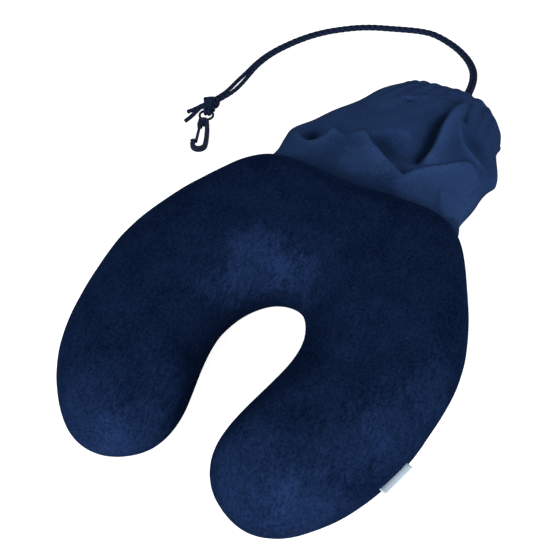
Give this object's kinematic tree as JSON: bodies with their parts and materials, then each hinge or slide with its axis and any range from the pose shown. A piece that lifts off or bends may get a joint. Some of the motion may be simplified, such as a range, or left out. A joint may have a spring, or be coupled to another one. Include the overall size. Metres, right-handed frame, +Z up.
{
  "type": "u shaped neck pillow",
  "caption": "Plump U shaped travel neck pillow with a stuff sack sewn to its back edge, a round draw cord, an overhand knot and a plastic swivel snap hook.",
  "frame": {"origin": "middle of the flat underside of the pillow's back section, on the surface it rests on", "axes": "+Z up from the underside to the crown, +Y from the neck opening to the back and out along the stuff sack, +X to the right limb as seen from above with the back away from the viewer"},
  "size_m": [0.3802, 0.6402, 0.09],
  "materials": {
    "foam": "open-cell memory foam, matt",
    "velour": "dark navy plush velour with a short streaky nap",
    "seam_thread": "dark navy sewn seam",
    "label_weave": "pale blue woven tape, no lettering",
    "sack_cloth": "thin brushed polyester, slightly lighter blue than the pillow",
    "cord": "round braided polyester cord",
    "hook_plastic": "moulded dark navy plastic, satin"
  },
  "bodies": {
    "pillow": {"foam_core": "foam", "cover_top_panel": "velour", "cover_bottom_panel": "velour", "edge_seam": "seam_thread", "woven_label": "label_weave", "sack_sewing_band": "sack_cloth"},
    "stuff_sack": {"sack_top_panel": "sack_cloth", "sack_bottom_panel": "sack_cloth", "sack_left_seam": "seam_thread", "sack_right_seam": "seam_thread", "mouth_casing": "sack_cloth", "hem_cord": "cord"},
    "cord_lead": {"cord_lead_left": "cord", "cord_lead_right": "cord"},
    "cord_first_run": {"first_run_left": "cord", "first_run_right": "cord"},
    "cord_second_run": {"second_run_left": "cord", "second_run_right": "cord", "knot": "cord", "eye_loop": "cord", "upper_tail": "cord", "lower_tail": "cord"},
    "swivel_eye": {"hook_eye": "hook_plastic"},
    "snap_hook": {"hook_body": "hook_plastic"},
    "spring_gate": {"hook_gate": "hook_plastic"}
  },
  "joints": [
    {"name": "sack_fold", "type": "hinge", "parent": "pillow", "child": "stuff_sack", "pos_m": [0, 0.0714, 0.045], "axis": [1, 0, 0], "range_deg": [-30, 95]},
    {"name": "cord_draw", "type": "slide", "parent": "stuff_sack", "child": "cord_lead", "axis": [0, 1, 0], "range_m": [0, 0.03]},
    {"name": "cord_swing", "type": "hinge", "parent": "cord_lead", "child": "cord_first_run", "pos_m": [0.027, 0.283, 0.019], "axis": [0, 0, 1], "range_deg": [-60, 4]},
    {"name": "cord_bend", "type": "hinge", "parent": "cord_first_run", "child": "cord_second_run", "pos_m": [-0.0706, 0.3823, 0.0022], "axis": [0, 0, 1], "range_deg": [-60, 6]},
    {"name": "hook_rock", "type": "hinge", "parent": "cord_second_run", "child": "swivel_eye", "pos_m": [-0.20572, 0.14103, 0.0053], "axis": [0, 0, 1], "range_deg": [-20, 20]},
    {"name": "hook_swivel", "type": "hinge", "parent": "swivel_eye", "child": "snap_hook", "pos_m": [-0.2045, 0.13759, 0.0053], "axis": [0.3338, -0.9426, 0], "continuous": true},
    {"name": "gate_press", "type": "hinge", "parent": "snap_hook", "child": "spring_gate", "pos_m": [-0.20183, 0.12018, 0.0053], "axis": [0, 0, 1], "range_deg": [0, 15], "stiffness_Nm_per_rad": 0.05}
  ]
}
